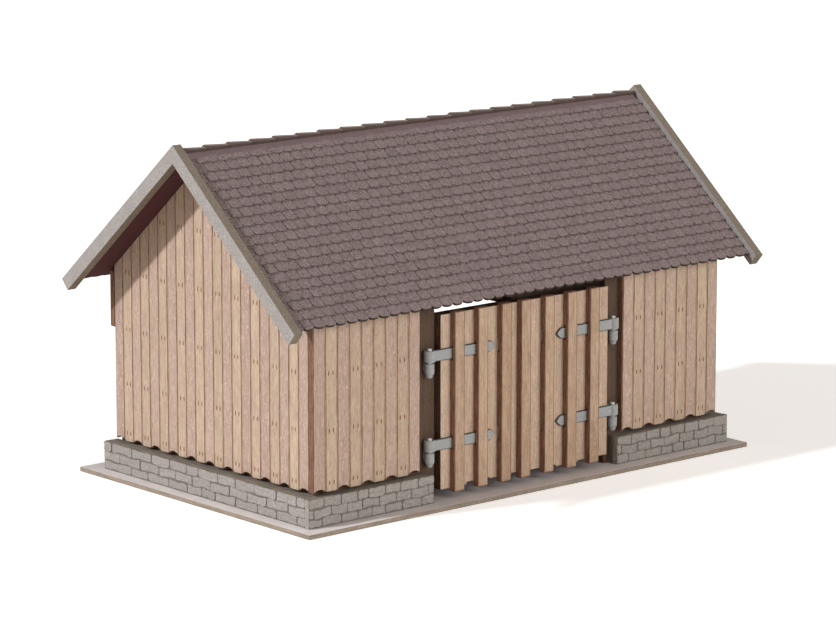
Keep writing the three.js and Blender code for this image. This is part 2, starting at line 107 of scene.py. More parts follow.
# Boards
BOARD_PITCH = 2.5
BOARD_GAP = 0.32
BOARD_WANDER = 0.05  # of a board's edge at the points along it
BOARD_LEAN_SHARES = (-0.5, 1)  # of the wander, by which a whole edge lies off its joint
BOARD_EDGE_POINTS = 9
BOARD_EDGE = 0.06
GROOVE_FLOOR = 0.1
GROOVE_EDGE = 0.015
ARCH_SPRING = 0.15
ARCH_RISE = 0.42
ARCH_STEPS = 10
NAIL_ROWS = [7.5, 16, 25.4, 35.1, 44.8]
NAIL_SPACING = 0.9
NAIL_WIDTH = 0.26
NAIL_HEIGHT = 0.85
NAIL_PROUD = 0.015
NAIL_DEPTH = 0.1
NAIL_SHIFT = 0.12  # of a pair off the board's middle, to either side
NAIL_STEPS = 8

# Kinds of board: 0 has the first colour of its wood and 1 the second
SHORT_BOARD_KIND = (0.6, 1)
LONG_BOARD_KIND = (0, 0.25)
LEAF_BOARD_KIND = (0.7, 1)
COVER_BOARD_KIND = (0, 0.35)

# Doors
STRAP_THICKNESS = 0.4
STRAP_CLEARANCE = 0.25
STRAP_EDGE_WIDTH = 0.13
COVER_EDGE_WIDTH = 0.16
COVER_EDGE_DEPTH = 0.04
HIDDEN_EDGE = 0.001
STRAP_REACH = {"left": 13.95, "right": 13.45}  # from the pin to the tip
STRAP_TIP_LENGTH = 1.5
STRAP_TIP_SHARES = [(0.3, 0.97), (0.55, 0.76), (0.8, 0.38), (1, 0)]  # along the tip, and of half the height
EYE_RADIUS = 0.95
EYE_BORE = 0.65
EYE_EDGE = 0.08
PIN_RADIUS = 0.4
PIN_STANDS_UP = 0.3
PIN_DOME = 0.12
BOSS_RADIUS = 0.8
BOSS_TOP_GAP = 0.25  # below the strap
BOSS_HEIGHT = 1.85
BOSS_ROUNDING_SHARES = [(0.2, -0.34), (0.5, -0.3), (0.68, -0.18), (0.7, -0.02), (0.9, 0.04), (1, 0.16)]
WEB_WIDTH = 0.9
WEB_FOOT_SHARE = 0.25  # of the boss's height
TURNED_STEPS = 24
STEP_AT_FOOT = 0.55  # how far the boards between the cover boards stop short of them

# Plinth: places of the joints between the stones, by course from the bottom
STONE_COURSES = 3
MORTAR_DEPTH = 0.2
STONE_GAP = 0.11
STONE_GAP_SHARES = (-0.6, 2.3)  # of half the gap, on each side of a stone; below zero there is none
FOOT_GAP = 0.15  # under the lowest course
STONE_EDGE = 0.07
STONE_CORNER = 0.55
STONE_CORNER_SHARES = (0.5, 1.3)  # of the corner's radius
STONE_CORNER_LIMIT_SHARE = 0.44  # of a stone's shorter side
STONE_WOBBLE = 0.16
STONE_WOBBLE_LIMIT_SHARE = 0.25  # of the straight stretch of a side
COURSE_WAVE = 0.17  # how far a course wanders up and down
COURSE_WAVE_LENGTHS = [4.3, 7.1]
STONE_CORNER_STEPS = 4
STONE_SIDE_SHARES = (0.36, 0.66)
STONE_BULGE = 0.12
FRONT_LEFT_JOINTS = [
    [-44.3, -40.3, -36.8, -33.8, -31, -27.4, -23.3],
    [-46.1, -42.4, -39, -35.9, -32.3, -28.7, -25.5, -21.8],
    [-44, -40.3, -36.9, -34.6, -31, -27.8, -24],
]
FRONT_RIGHT_JOINTS = [
    [23.3, 27.3, 31.1, 33.7, 36.4, 40, 44.1],
    [21.6, 25.4, 28.5, 31.8, 35.4, 38.8, 42.2, 45.8],
    [23.9, 27.5, 30.7, 33.2, 36.6, 39.9, 43.6],
]
GABLE_JOINTS = [
    [19.2, 14.6, 8.9, 3.9, 0, -3.6, -9, -14.6, -19.6, -24.8],
    [22.4, 16.7, 11.6, 7.2, 2.6, -2.3, -7.3, -12, -17, -22.6],
    [24.7, 19.1, 13.6, 8.7, 4.1, 0.9, -4.2, -8.9, -13.9, -19.5, -24.6],
]

# Eased edges of the pieces that keep their CAD form
EASED_WIDTH = 0.05
BASE_EASED_WIDTH = 0.08
BARGE_EASED_WIDTH = 0.07
EASED_STEPS = 2
EASED_ROUNDNESS = 0.6
WELD_DISTANCE = 0.0005
FLAT_ANGLE = math.radians(1)
SHARP_ANGLE = math.radians(35)
FACING_SHARE = 0.8  # of a face's normal along the axis that is square to the sheet

# Light and floor
KEY_DIRECTION = Vector((-1, 0.25, 0.7))
KEY_STRENGTH = 2.48
KEY_COLOUR = (0.985, 1.02, 1.08)
KEY_ANGLE = math.radians(4)
FRONT_DIRECTION = Vector((0.2, -1, 0.35))
FRONT_STRENGTH = 1.34
FRONT_COLOUR = (1.005, 1.025, 1.05)
FRONT_ANGLE = math.radians(40)
SKY_STRENGTH = 0.25
SKY_COLOUR = (1, 0.87, 0.77, 1)
WHITE = (1, 1, 1, 1)
FLOOR_HALF = 900
FLOOR_COLOUR = (0.9, 0.865, 0.82, 1)
FLOOR_GLOW = 0.5

SLOPE_COS = math.cos(ROOF_PITCH)
SLOPE_SIN = math.sin(ROOF_PITCH)


def corners(node):
    """Lowest and highest corner of a CAD node, in millimetres."""
    low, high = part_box(node)
    return low / MM, high / MM


def face_of(node, axis, side):
    """Where a node's outer face lies along an axis, as a distance from the middle."""
    low, high = corners(node)
    return -low[axis] if side < 0 else high[axis]


APEX_Z = corners("left_bargeboards")[1].z
BOARD_THICKNESS = corners("front_left_boards")[1].y - corners("front_left_boards")[0].y
LONG_BOARD_END = corners("front_left_boards")[0].z
GABLE_FACE = face_of("left_gable_boards", 0, -1)
FRONT_FACE = face_of("front_left_boards", 1, -1)
STONE_FRONT = face_of("front_left_plinth_stones", 1, -1)
STONE_GABLE = face_of("left_gable_plinth_stones", 0, -1)
ROOF_HALF = face_of("front_roof_tiles", 0, 1)
BASE_TOP = corners("baseplate")[1].z
PLINTH_TOP = corners("front_left_plinth_stones")[1].z


class Shape:
    """Faces of one piece: points in millimetres, and for each face a finish, a tone and a kind."""

    def __init__(self):
        self.points = []
        self.faces = []
        self.finishes = []
        self.tones = []
        self.kinds = []

    def add(self, points, faces, finishes, tone=0.5, kind=0):
        first = len(self.points)
        self.points.extend(points)
        for face, finish in zip(faces, finishes):
            self.faces.append([first + index for index in face])
            self.finishes.append(finish)
            self.tones.append(tone)
            self.kinds.append(kind)

    def piece(self, name, materials, body, slot, *nodes):
        """Makes the object, in metres, on its CAD body and in place of these CAD nodes."""
        mesh = bpy.data.meshes.new(name)
        mesh.from_pydata([Vector(point) * MM for point in self.points], [], self.faces)
        for material in materials:
            mesh.materials.append(material)
        mesh.polygons.foreach_set("material_index", self.finishes)
        mesh.attributes.new("tone", "FLOAT", "FACE").data.foreach_set("value", self.tones)
        mesh.attributes.new("kind", "FLOAT", "FACE").data.foreach_set("value", self.kinds)
        mesh.update()
        made = bpy.data.objects.new(name, mesh)
        bpy.context.scene.collection.objects.link(made)
        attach(made, body)
        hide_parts(*nodes)


LEAST_MITRE_SHARE = 0.3  # keeps the inner corner of a sharp point near the point


def inset(outline, distance):
    """The outline moved inwards: its points run counter-clockwise."""
    moved = []
    count = len(outline)
    for index, point in enumerate(outline):
        here = Vector(point)
        before = (here - Vector(outline[index - 1])).normalized()
        after = (Vector(outline[(index + 1) % count]) - here).normalized()
        inwards = Vector((-before.y - after.y, before.x + after.x))
        share = max(LEAST_MITRE_SHARE, inwards.length_squared / 2)
        moved.append(tuple(here + inwards * (distance / share)))
    return moved


def ring_faces(size, lower, upper):
    """Faces between two rings of points, given by their first points."""
    return [[lower + k, lower + (k + 1) % size, upper + (k + 1) % size, upper + k] for k in range(size)]


def no_tilt(v):
    """For a plate that lies parallel to the face it is placed on."""
    return 0


def plate(shape, outline, place, depth, edge, finishes, tone=0.5, kind=0, front=0, tilt=no_tilt, rim=None):
    """A cut plate with worn front edges: outline (u, v), and place(u, v, d) with d going in from the face.

    finishes are those of the face, the cut edges, the worn edge and, if it differs from the cut edges,
    the back. A list of cut edges gives each side its own. tilt(v) adds to d, on a sloping plate. rim is
    the worn edge's depth where it differs from its width.
    """
    size = len(outline)
    points = [place(u, v, depth) for u, v in outline]
    points += [place(u, v, front + tilt(v) + (rim or edge)) for u, v in outline]
    points += [place(u, v, front + tilt(v)) for u, v in inset(outline, edge)]
    faces = ring_faces(size, 0, size) + ring_faces(size, size, 2 * size)
    faces.append([2 * size + k for k in range(size)])
    faces.append([size - 1 - k for k in range(size)])
    sides = finishes[1] if isinstance(finishes[1], list) else [finishes[1]] * size
    back = finishes[3] if len(finishes) > 3 else sides[0]
    shape.add(points, faces, sides + [finishes[2]] * size + [finishes[0], back], tone, kind)


def turned(shape, x, y, profile, finish=0, is_ring=False):
    """A round form about an upright axis.

    profile gives (radius, height) from its lower end up, or all round the section of a ring.
    """
    points = []
    for radius, z in profile:
        for step in range(TURNED_STEPS):
            angle = 2 * math.pi * step / TURNED_STEPS
            points.append((x + radius * math.cos(angle), y + radius * math.sin(angle), z))
    last = (len(profile) - 1) * TURNED_STEPS
    faces = []
    for lower in range(0, last, TURNED_STEPS):
        faces += ring_faces(TURNED_STEPS, lower, lower + TURNED_STEPS)
    if is_ring:
        faces += ring_faces(TURNED_STEPS, last, 0)
    else:
        faces.append([TURNED_STEPS - 1 - k for k in range(TURNED_STEPS)])
        faces.append([last + k for k in range(TURNED_STEPS)])
    shape.add(points, faces, [finish] * len(faces))


def on_front(distance):
    return lambda u, v, d: (u, -distance + d, v)


def on_rear(distance):
    return lambda u, v, d: (-u, distance - d, v)


def on_left(distance):
    return lambda u, v, d: (-distance + d, -u, v)


def on_right(distance):
    return lambda u, v, d: (distance - d, u, v)


def on_slope(is_rear, drop):
    """v runs up the slope from the eaves, so it is minus s."""

    def place(u, v, d):
        y = v * SLOPE_COS + (drop + d) * SLOPE_SIN
        z = APEX_Z + v * SLOPE_SIN - (drop + d) * SLOPE_COS
        return (-u, -y, z) if is_rear else (u, y, z)

    return place


def wall_top(y):
    return APEX_Z - WALL_TOP_DROP / SLOPE_COS - abs(y) * math.tan(ROOF_PITCH)


# Materials: sizes of the patterns' blotches along x, y and z, and depths of the reliefs

GRAIN = (0.2, 0.2, 2.2)
STREAKS = (0.5, 0.5, 9)
PORES = (0.16, 0.16, 0.8)
RAYS = (0.35, 0.35, 0.6)
PATCHES = (1.1, 1.1, 5)
BLOTCHES = (0.7, 0.7, 1.6)
SCORCHES = (0.3, 0.3, 3)
SOOT = (0.5, 0.5, 0.5)
CARD_CLOUDS = (3.5, 3.5, 3.5)
STONE_GRIT = (0.34, 0.34, 0.28)
STONE_LUMPS = (1.1, 1.1, 0.4)
TILE_GRIT = (0.3, 0.3, 0.3)
TILE_DENTS = (0.8, 0.8, 0.8)
TILE_CLOUDS = (5, 5, 5)
BASE_LAYERS = (4, 4, 0.22)
STONE_LAYERS = (2.5, 2.5, 0.3)
FRONT_LEDGE_LAYERS = (4, 0.28, 4)
GABLE_LEDGE_LAYERS = (0.28, 4, 4)
CORE_STREAKS = (0.3, 0.3, 5)
BARGE_LAYERS = (0.5, 0.5, 0.3)
FINE_FIBRE = 0.16
COARSE_FIBRE = 0.3
WOOD_SHIFT = 40  # how far a pattern moves as the tone goes from 0 to 1
BURNT_SHIFT = 25
CARD_SHIFT = 30
GRAIN_DEPTH = 0.02
PORE_DEPTH = 0.012
CARD_DEPTH = 0.012
STRAP_DEPTH = 0.02
LUMP_DEPTH = 0.14
STONE_GRIT_DEPTH = 0.06
DENT_DEPTH = 0.4
TILE_GRIT_DEPTH = 0.14
NOISE_LOW = 0.3  # most of a noise's values lie between these two
NOISE_HIGH = 0.7
NOISE_ROUGHNESS = 0.55
SPECULAR_LEVEL = 0.3
PALE_FLECK = "#eedaca"


def new_node(tree, kind, inputs=None, **settings):
    """A shader node; an input that is another node's socket is linked, and any other is set."""
    made = tree.nodes.new(kind)
    for key, value in settings.items():
        setattr(made, key, value)
    for key, value in (inputs or {}).items():
        if isinstance(value, bpy.types.NodeSocket):
            tree.links.new(value, made.inputs[key])
        else:
            made.inputs[key].default_value = value
    return made


def rgb(hex_colour):
    """A colour as written, in the linear values that the shader takes."""
    parts = [int(hex_colour[k:k + 2], 16) / 255 for k in (1, 3, 5)]
    return (*Color(parts).from_srgb_to_scene_linear(), 1)


class Finish:
    """A procedural material whose patterns lie in the piece's own coordinates, measured in millimetres."""

    def __init__(self, name):
        self.material = bpy.data.materials.new(name)
        self.material.use_nodes = True
        self.tree = self.material.node_tree
        self.tree.nodes.clear()
        self.shader = new_node(self.tree, "ShaderNodeBsdfPrincipled")
        new_node(self.tree, "ShaderNodeOutputMaterial", {"Surface": self.shader.outputs["BSDF"]})
        self.place = new_node(self.tree, "ShaderNodeTexCoord").outputs["Object"]
        self.bumps = []

    def attribute(self, name):
        return new_node(self.tree, "ShaderNodeAttribute", attribute_name=name).outputs["Fac"]

    def own_place(self, shift):
        """The place moved by each part's tone, so that the pattern starts afresh on every board or stone."""
        moved = self.multiply(self.attribute("tone"), shift * MM)
        offset = new_node(self.tree, "ShaderNodeCombineXYZ", {"X": moved, "Y": moved, "Z": moved})
        added = new_node(self.tree, "ShaderNodeVectorMath", {0: self.place, 1: offset.outputs[0]})
        return added.outputs[0]

    def multiply(self, first, second):
        return new_node(self.tree, "ShaderNodeMath", {0: first, 1: second}, operation="MULTIPLY").outputs[0]

    def noise(self, sizes, detail, place):
        """Noise whose blotches have these sizes in millimetres along x, y and z."""
        scale = tuple(1 / (size * MM) for size in sizes)
        mapping = new_node(self.tree, "ShaderNodeMapping", {"Vector": place, "Scale": scale})
        texture = new_node(
            self.tree, "ShaderNodeTexNoise",
            {"Vector": mapping.outputs[0], "Scale": 1, "Detail": detail, "Roughness": NOISE_ROUGHNESS},
        )
        return texture.outputs["Fac"]

    def ramp(self, value, low, high, low_out=0, high_out=1):
        """Goes from low_out to high_out while the value goes from low to high."""
        return new_node(
            self.tree, "ShaderNodeMapRange",
            {"Value": value, "From Min": low, "From Max": high, "To Min": low_out, "To Max": high_out},
        ).outputs[0]

    def mix(self, factor, first, second, blend="MIX"):
        """Mixes two colours: inputs 6 and 7 of this node and its output 2 are the ones for colours."""
        made = new_node(self.tree, "ShaderNodeMix", data_type="RGBA", blend_type=blend)
        for index, value in ((0, factor), (6, first), (7, second)):
            if isinstance(value, bpy.types.NodeSocket):
                self.tree.links.new(value, made.inputs[index])
            else:
                made.inputs[index].default_value = value
        return made.outputs[2]

    def vary(self, colour, pattern, dark, light, low=NOISE_LOW, high=NOISE_HIGH):
        """The colour multiplied by a factor from dark to light while the pattern goes from low to high."""
        factor = self.ramp(pattern, low, high, dark, light)
        grey = new_node(self.tree, "ShaderNodeCombineXYZ", {"X": factor, "Y": factor, "Z": factor})
        return self.mix(1, colour, grey.outputs[0], "MULTIPLY")

    def vary_by_tone(self, colour, dark, light):
        return self.vary(colour, self.attribute("tone"), dark, light, 0, 1)

    def relief(self, height, depth):
        """Adds a bump whose full height is depth millimetres."""
        self.bumps.append((height, depth))

    def done(self, colour, roughness, spread, grain):
        """Links the colour, a roughness that follows the grain, and the bumps one on the other."""
        rough = self.ramp(grain, NOISE_LOW, NOISE_HIGH, roughness - spread, roughness + spread)
        self.tree.links.new(colour, self.shader.inputs["Base Color"])
        self.tree.links.new(rough, self.shader.inputs["Roughness"])
        self.shader.inputs["Specular IOR Level"].default_value = SPECULAR_LEVEL
        carried = {}
        for height, depth in self.bumps:
            inputs = {"Height": height, "Distance": depth * MM, **carried}
            bump = new_node(self.tree, "ShaderNodeBump", inputs)
            bump.inputs["Strength"].default_value = 1
            carried = {"Normal": bump.outputs[0]}
        self.tree.links.new(carried["Normal"], self.shader.inputs["Normal"])
        return self.material


def wood(name, first, second, deep):
    """Fine upright grain. A board's kind sets its place between the two colours; patches have the second."""
    finish = Finish(name)
    place = finish.own_place(WOOD_SHIFT)
    kind = finish.attribute("kind")
    grain = finish.noise(GRAIN, 4, place)
    pores = finish.noise(PORES, 2, place)
    colour = finish.mix(kind, rgb(first), rgb(second))
    patches = finish.ramp(finish.noise(PATCHES, 3, place), 0.4, 0.65, 0, 0.5)
    colour = finish.mix(patches, colour, rgb(second))
    streaks = finish.ramp(finish.noise(STREAKS, 3, place), 0.45, 0.75, 0, 0.35)
    colour = finish.mix(streaks, colour, rgb(deep))
    colour = finish.vary_by_tone(colour, 0.95, 1.05)
    colour = finish.vary(colour, finish.noise(BLOTCHES, 3, place), 0.9, 1.08)
    colour = finish.vary(colour, grain, 0.86, 1.14)
    colour = finish.vary(colour, pores, 1.02, 0.8, 0.56, 0.7)
    rays = finish.ramp(finish.noise(RAYS, 3, place), 0.55, 0.7)
    flecks = finish.multiply(rays, finish.ramp(kind, 0, 1, 0.25, 1))
    colour = finish.mix(finish.multiply(flecks, 0.55), colour, rgb(PALE_FLECK))
    finish.relief(grain, GRAIN_DEPTH)
    finish.relief(pores, PORE_DEPTH)
    return finish.done(colour, 0.68, 0.08, grain)


def burnt(name, light, dark):
    """Wood or card browned by the cut: darker and lighter lines across its thickness."""
    finish = Finish(name)
    place = finish.own_place(BURNT_SHIFT)
    lines = finish.noise(SCORCHES, 3, place)
    soot = finish.noise(SOOT, 4, place)
    colour = finish.mix(finish.ramp(lines, 0.35, 0.7), rgb(light), rgb(dark))
    colour = finish.vary(colour, soot, 0.8, 1.15)
    finish.relief(lines, GRAIN_DEPTH)
    return finish.done(colour, 0.8, 0.08, soot)


def card(name, light, dark, roughness=0.85, fibre=FINE_FIBRE, depth=CARD_DEPTH, layers=None, contrast=0.12):
    """Pressed card: a fine mottle, soft clouds and, on a cut edge, layers.

    layers are the sizes of their blotches along x, y and z.
    """
    finish = Finish(name)
    place = finish.own_place(CARD_SHIFT)
    mottle = finish.noise((fibre, fibre, fibre), 4, place)
    colour = finish.mix(finish.ramp(mottle, NOISE_LOW, NOISE_HIGH), rgb(dark), rgb(light))
    colour = finish.vary(colour, finish.noise(CARD_CLOUDS, 3, place), 0.94, 1.06)
    if layers:
        lines = finish.noise(layers, 2, place)
        colour = finish.vary(colour, lines, 1 - contrast, 1 + contrast, 0.35, 0.65)
        finish.relief(lines, GRAIN_DEPTH)
    finish.relief(mottle, depth)
    return finish.done(colour, roughness, 0.06, mottle)


def stone_face(name, light, dark):
    """Card engraved as rough stone."""
    finish = Finish(name)
    place = finish.own_place(CARD_SHIFT)
    grit = finish.noise(STONE_GRIT, 4, place)
    lumps = finish.noise(STONE_LUMPS, 3, place)
    colour = finish.mix(finish.ramp(grit, 0.2, 0.8), rgb(dark), rgb(light))
    colour = finish.vary(colour, lumps, 0.91, 1.08)
    colour = finish.vary_by_tone(colour, 0.94, 1.05)
    finish.relief(lumps, LUMP_DEPTH)
    finish.relief(grit, STONE_GRIT_DEPTH)
    return finish.done(colour, 0.92, 0.05, grit)


def tile_face(name, light, dark, warm):
    """Gritty, dented card in warm clouds that go on from tile to tile."""
    finish = Finish(name)
    place = finish.own_place(CARD_SHIFT)
    grit = finish.noise(TILE_GRIT, 4, place)
    dents = finish.noise(TILE_DENTS, 2, place)
    clouds = finish.ramp(finish.noise(TILE_CLOUDS, 3, finish.place), 0.5, 0.8, 0, 0.5)
    colour = finish.mix(finish.ramp(grit, 0.32, 0.68), rgb(dark), rgb(light))
    colour = finish.mix(clouds, colour, rgb(warm))
    colour = finish.vary(colour, dents, 0.93, 1.06)
    colour = finish.vary_by_tone(colour, 0.95, 1.05)
    finish.relief(dents, DENT_DEPTH)
    finish.relief(grit, TILE_GRIT_DEPTH)
    return finish.done(colour, 0.88, 0.06, grit)


WALL_WOOD = wood("wall_wood", "#c9b298", "#bba092", "#a98a70")
DOOR_WOOD = wood("door_wood", "#b19276", "#d1b69d", "#93735a")
BURNT = burnt("burnt_wood", "#8f6c54", "#684b39")
JOINT = burnt("joint_wood", "#bd9f83", "#93765e")
COVER_EDGE = burnt("cover_edge_wood", "#9a7560", "#6c5143")
DARK_BURNT = burnt("dark_burnt_wood", "#6a4a38", "#3a271d")
NAIL = burnt("nail_marks", "#94704f", "#7a583d")
BASE_TOP_CARD = card("base_card_top", "#ebe3df", "#d7cec9")
BASE_EDGE_CARD = card("base_card_edge", "#b0a395", "#857767", layers=BASE_LAYERS)
STONE_FACE = stone_face("stone_face", "#b9b3ac", "#8b857e")
STONE_EDGE_CARD = card("stone_edge", "#988f80", "#675e52", layers=STONE_LAYERS)
FRONT_LEDGE = card("front_ledge", "#938a7c", "#655c51", layers=FRONT_LEDGE_LAYERS, contrast=0.32)
GABLE_LEDGE = card("gable_ledge", "#938a7c", "#655c51", layers=GABLE_LEDGE_LAYERS, contrast=0.32)
MORTAR = card("stone_joint", "#8b847b", "#6b645c")
DARK_CARD = card("dark_card", "#6b5546", "#4c3a2e", layers=CORE_STREAKS)
ROOF_CARD = card("roof_card", "#5d3335", "#3d1f20")
TILE_FACE = tile_face("tile_face", "#998885", "#6d5e5b", "#8d7e79")
# Painted shade: the rounded lower ends of the tiles are coloured darker than their faces, as the shade along
# each course's lower edge.
TILE_BUTT_SHADE = card("tile_butt_painted_shade", "#75666a", "#584b4b")
TILE_BED = card("tile_bed", "#968282", "#7a6767")
# Painted shade: the lowest course's rounded ends and the tips at the eaves are coloured near black for the
# shade they lie in.
TILE_TIP_SHADE = card("tile_tip_painted_shade", "#4f403a", "#2a211e")
CAP_FACE = card("ridge_cap", "#6b5b55", "#50433e", fibre=COARSE_FIBRE)
CAP_EDGE = card("ridge_cap_edge", "#76615b", "#4f403a")
# Painted highlight: the caps' crest is coloured much lighter than their wings, as the light along the ridge's
# top.
CAP_CREST_HIGHLIGHT = card("ridge_cap_painted_highlight", "#a0968d", "#82776d", fibre=COARSE_FIBRE)
BARGE_FACE = card("barge_face", "#b8b1ac", "#948d87", fibre=COARSE_FIBRE)
BARGE_EDGE = card("barge_edge", "#8f8475", "#706556", layers=BARGE_LAYERS)
# Painted shade: a darker copy of the barge card, put on both faces of the right bargeboard for the shade on
# its inner face.
BARGE_SHADED = card("barge_painted_shade", "#a39d99", "#837d78", fibre=COARSE_FIBRE)
STRAP_CARD = card("strap_card", "#b4b5b1", "#96999a", 0.5, COARSE_FIBRE, STRAP_DEPTH)
STRAP_EDGE = card("strap_edge", "#5f5b57", "#45413d", 0.6)
# Painted highlight: the pin is coloured pure white, as the bright glint on its domed top.
PIN_HIGHLIGHT = card("pin_painted_highlight", "#ffffff", "#e8e7e3", 0.45)

RANDOM = random.Random(7)


# Walls


def board_bottom(left, pitch, is_short, foot):
    """A board's lower end from left to right: short boards have a hollow arch, long ones a straight cut."""
    if not is_short:
        return [(left, foot), (left + pitch, foot)]
    shares = [step / ARCH_STEPS for step in range(ARCH_STEPS + 1)]
    return [(left + t * pitch, foot + ARCH_SPRING + 4 * ARCH_RISE * t * (1 - t)) for t in shares]


def edge_points(u, low, high):
    """Points up a board's edge, each a little off the line."""
    lean = u + RANDOM.uniform(*BOARD_LEAN_SHARES) * BOARD_WANDER
    points = []
    for step in range(1, BOARD_EDGE_POINTS + 1):
        share = step / (BOARD_EDGE_POINTS + 1)
        points.append((lean + RANDOM.uniform(-BOARD_WANDER, BOARD_WANDER), low + (high - low) * share))
    return points


def board_outline(left, right, bottom, top, is_uneven=False):
    """Between its joints, with the peak where the board holds the middle of a gable."""
    points = [(min(max(u, left), right), v) for u, v in bottom]
    if is_uneven:
        points += edge_points(right, bottom[-1][1], top(right))
    points.append((right, top(right)))
    if left < 0 < right and top(0) > top(left):
        points.append((0, top(0)))
    points.append((left, top(left)))
    if is_uneven:
        points += edge_points(left, bottom[0][1], top(left))[::-1]
    return points


def nail_pair(shape, place, middle, z):
    """Two burnt marks side by side, each a flat ellipse."""
    middle += RANDOM.uniform(-NAIL_SHIFT, NAIL_SHIFT)
    angles = [2 * math.pi * step / NAIL_STEPS for step in range(NAIL_STEPS)]
    for side in (-1, 1):
        u = middle + side * NAIL_SPACING / 2
        outline = [(u + NAIL_WIDTH / 2 * math.cos(a), z + NAIL_HEIGHT / 2 * math.sin(a)) for a in angles]
        tone = RANDOM.random()
        plate(shape, outline, place, NAIL_DEPTH, NAIL_PROUD / 2, (2, 2, 2), tone, front=-NAIL_PROUD)


def boarding(place, start, end, foot, top):
    """Boards with engraved joints, every other one short, and pairs of nails on the long ones."""
    shape = Shape()
    count = round((end - start) / BOARD_PITCH)
    pitch = (end - start) / count
    for index in range(count):
        left = start + index * pitch
        is_short = index % 2 == 0
        bottom = board_bottom(left, pitch, is_short, foot)
        sides = (left + BOARD_GAP / 2, left + pitch - BOARD_GAP / 2)
        outline = board_outline(*sides, bottom, top, is_uneven=True)
        kind = RANDOM.uniform(*(SHORT_BOARD_KIND if is_short else LONG_BOARD_KIND))
        plate(shape, outline, place, BOARD_THICKNESS, BOARD_EDGE, (0, 1, 3), RANDOM.random(), kind)
        if not is_short:
            middle = left + pitch / 2
            for z in NAIL_ROWS:
                if foot < z < top(middle) - NAIL_HEIGHT:
                    nail_pair(shape, place, middle, z)
    for index in range(count + 1):
        joint = start + index * pitch
        left, right = max(start, joint - BOARD_GAP), min(end, joint + BOARD_GAP)
        strip = board_outline(left, right, [(left, foot + ARCH_SPRING), (right, foot + ARCH_SPRING)], top)
        finishes = (3 if 0 < index < count else 1, 1, 3)
        depth = BOARD_THICKNESS - GROOVE_EDGE
        plate(shape, strip, place, depth, GROOVE_EDGE, finishes, RANDOM.random(), front=GROOVE_FLOOR)
    return shape


WALL_FINISHES = [WALL_WOOD, BURNT, NAIL, JOINT]


def make_walls():
    core_face = FRONT_FACE - BOARD_THICKNESS
    for label, place in (("left", on_left), ("right", on_right)):
        shape = boarding(place(GABLE_FACE), -core_face, core_face, LONG_BOARD_END, wall_top)
        shape.piece(f"{label}_gable_boarding", WALL_FINISHES, "shed", "wall_wood", f"{label}_gable_boards")
    level = wall_top(FRONT_FACE)
    for label in ("left", "right"):
        node = f"front_{label}_boards"
        low, high = corners(node)
        shape = boarding(on_front(FRONT_FACE), low.x, high.x, LONG_BOARD_END, lambda u: level)
        shape.piece(f"front_{label}_boarding", WALL_FINISHES, "shed", "wall_wood", node)
    node = "rear_lintel_boards"
    shape = boarding(on_rear(FRONT_FACE), -GABLE_FACE, GABLE_FACE, corners(node)[0].z, lambda u: level)
    shape.piece("rear_lintel_boarding", WALL_FINISHES, "shed", "wall_wood", node)


# Plinth


def rounded_stone(left, right, low, high):
    """A stone's outline: rounded corners of different sizes and slightly uneven sides, counter-clockwise."""
    most = STONE_CORNER_LIMIT_SHARE * min(right - left, high - low)
    places = [
        ((right, low), (-1, 1)),
        ((right, high), (-1, -1)),
        ((left, high), (1, -1)),
        ((left, low), (1, 1)),
    ]
    radii = [min(most, STONE_CORNER * RANDOM.uniform(*STONE_CORNER_SHARES)) for _ in places]
    points = []
    for turn, ((u, v), (du, dv)) in enumerate(places):
        radius = radii[turn]
        for step in range(STONE_CORNER_STEPS + 1):
            angle = math.radians(90 * (turn - 1) + 90 * step / STONE_CORNER_STEPS)
            round_u = u + du * radius + radius * math.cos(angle)
            round_v = v + dv * radius + radius * math.sin(angle)
            points.append((round_u, round_v))
        following = (turn + 1) % len(places)
        next_u, next_v = places[following][0]
        length = abs(next_u - u) + abs(next_v - v)
        straight = length - radius - radii[following]
        for share in STONE_SIDE_SHARES:
            along = (radius + share * straight) / length
            push = RANDOM.uniform(0, min(STONE_WOBBLE, STONE_WOBBLE_LIMIT_SHARE * straight))
            push_u, push_v = (du * push, 0) if turn % 2 == 0 else (0, dv * push)
            points.append((u + (next_u - u) * along + push_u, v + (next_v - v) * along + push_v))
    return points


def line_wave(line, u):
    """How far a line between two courses lies off the level at u. The lowest and the highest lie on it."""
    if line in (0, STONE_COURSES):
        return 0
    waves = [math.sin(2 * math.pi * u / length + line) for length in COURSE_WAVE_LENGTHS]
    return COURSE_WAVE * sum(waves) / len(waves)


def course_wave(course, u, share):
    """How far a point of a course moves with the lines below and above it; share is its height there."""
    return (1 - share) * line_wave(course, u) + share * line_wave(course + 1, u)


def stonework(place, start, end, joints, thickness):
    """Courses of rounded stones in front of a recessed bed of joint."""
    shape = Shape()
    bed = [(start, BASE_TOP), (end, BASE_TOP), (end, PLINTH_TOP), (start, PLINTH_TOP)]
    plate(shape, bed, place, thickness, STONE_EDGE / 2, (1, [2, 0, 3, 0], 1), front=MORTAR_DEPTH)
    height = (PLINTH_TOP - BASE_TOP) / STONE_COURSES
    for course, places in enumerate(joints):
        low = BASE_TOP + course * height
        is_highest = course == STONE_COURSES - 1
        limits = [start, *sorted(places), end]
        for left, right in zip(limits, limits[1:]):
            margins = [STONE_GAP / 2 * max(0, RANDOM.uniform(*STONE_GAP_SHARES)) for _ in range(4)]
            outline = rounded_stone(
                left + (margins[0] if left > start else 0),
                right - (margins[1] if right < end else 0),
                low + (margins[2] if course > 0 else FOOT_GAP),
                low + height - (0 if is_highest else margins[3]),
            )
            outline = [(u, v + course_wave(course, u, (v - low) / height)) for u, v in outline]
            bulge = RANDOM.uniform(0, STONE_BULGE)
            ledge = low + height - STONE_EDGE
            sides = [3 if is_highest and v > ledge else 1 for u, v in outline]
            depth = MORTAR_DEPTH + STONE_EDGE
            plate(shape, outline, place, depth, STONE_EDGE, (0, sides, 0), RANDOM.random(), front=bulge)
    return shape


